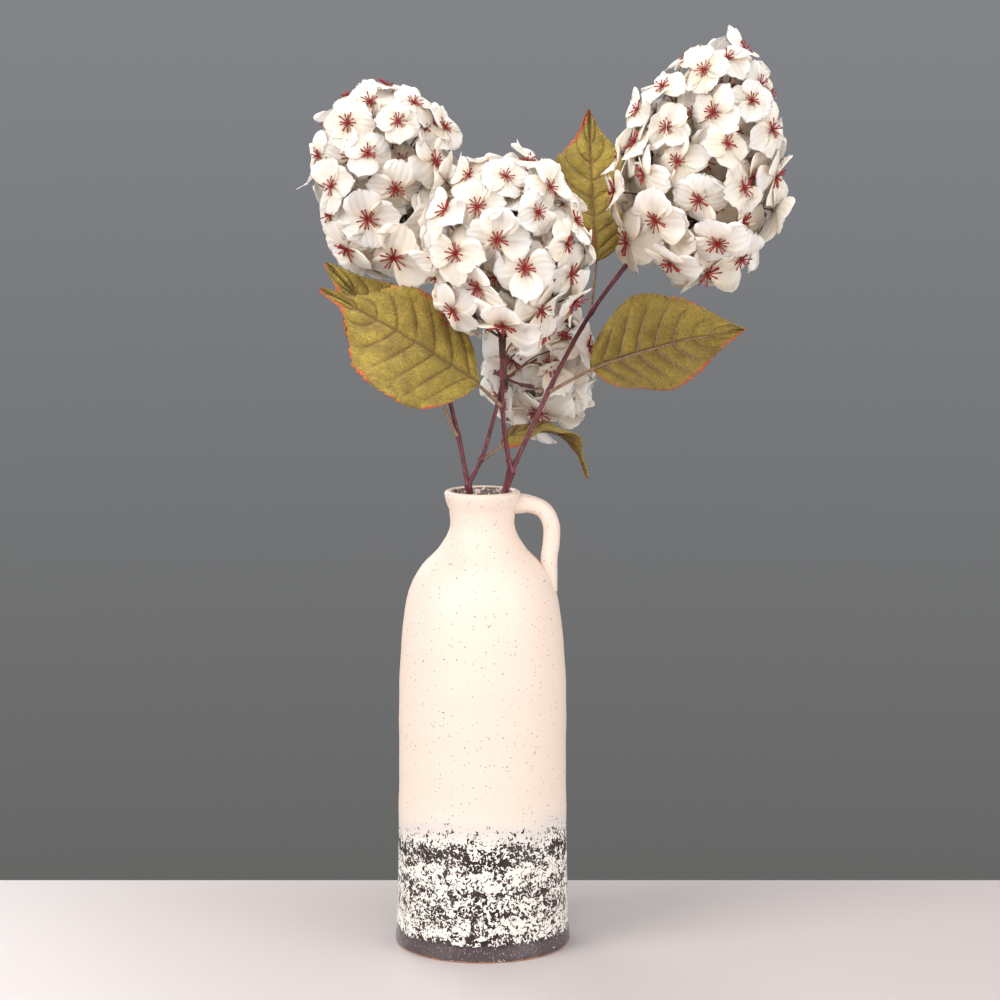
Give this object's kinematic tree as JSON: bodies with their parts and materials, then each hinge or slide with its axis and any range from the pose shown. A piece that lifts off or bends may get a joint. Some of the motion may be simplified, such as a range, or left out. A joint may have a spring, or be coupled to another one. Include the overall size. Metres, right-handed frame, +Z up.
{
  "type": "artificial hydrangeas in a jug vase",
  "caption": "Cream glazed bottle vase with a side handle and a dark speckled foot, holding fabric hydrangea stems with olive leaves.",
  "frame": {"origin": "middle of the vase's flat base, on the surface it stands on", "axes": "+Z up along the vase, +X towards the vase's handle, -Y towards the viewer"},
  "size_m": [0.3057, 0.1929, 0.5873],
  "materials": {
    "glaze": "satin speckled cream glaze over a dark spattered foot",
    "stem": "glossy burgundy plastic coating on wire",
    "petal": "stiffened cream fabric petals with dark red stamens",
    "leaf": "printed olive fabric with a red-orange edge",
    "rib": "tan brown moulded plastic ribs and stalks"
  },
  "bodies": {
    "root": {"vase": "glaze", "stem_right_main": "stem", "stem_left_main": "stem", "branch_center": "stem", "branch_right": "stem", "branch_left": "stem", "branch_lower": "stem", "crown_left": "stem", "crown_center": "stem", "crown_right": "stem", "crown_lower": "stem", "leaf_front_left_blade": "leaf", "leaf_front_left_rib": "rib", "leaf_back_left_blade": "leaf", "leaf_back_left_rib": "rib", "leaf_right_blade": "leaf", "leaf_right_rib": "rib", "leaf_tall_blade": "leaf", "leaf_tall_rib": "rib", "leaf_low_blade": "leaf", "leaf_low_rib": "rib", "sprig_left_top": "petal", "sprig_left_side_1": "petal", "sprig_left_side_2": "petal", "sprig_left_side_3": "petal", "sprig_left_side_4": "petal", "sprig_left_side_5": "petal", "sprig_center_top": "petal", "sprig_center_side_1": "petal", "sprig_center_side_2": "petal", "sprig_center_side_3": "petal", "sprig_center_side_4": "petal", "sprig_center_side_5": "petal", "sprig_right_top": "petal", "sprig_right_side_1": "petal", "sprig_right_side_2": "petal", "sprig_right_side_3": "petal", "sprig_right_side_4": "petal", "sprig_right_side_5": "petal", "sprig_lower_top": "petal", "sprig_lower_side_1": "petal", "sprig_lower_side_2": "petal", "sprig_lower_side_3": "petal", "sprig_lower_side_4": "petal", "sprig_lower_side_5": "petal"}
  },
  "joints": []
}
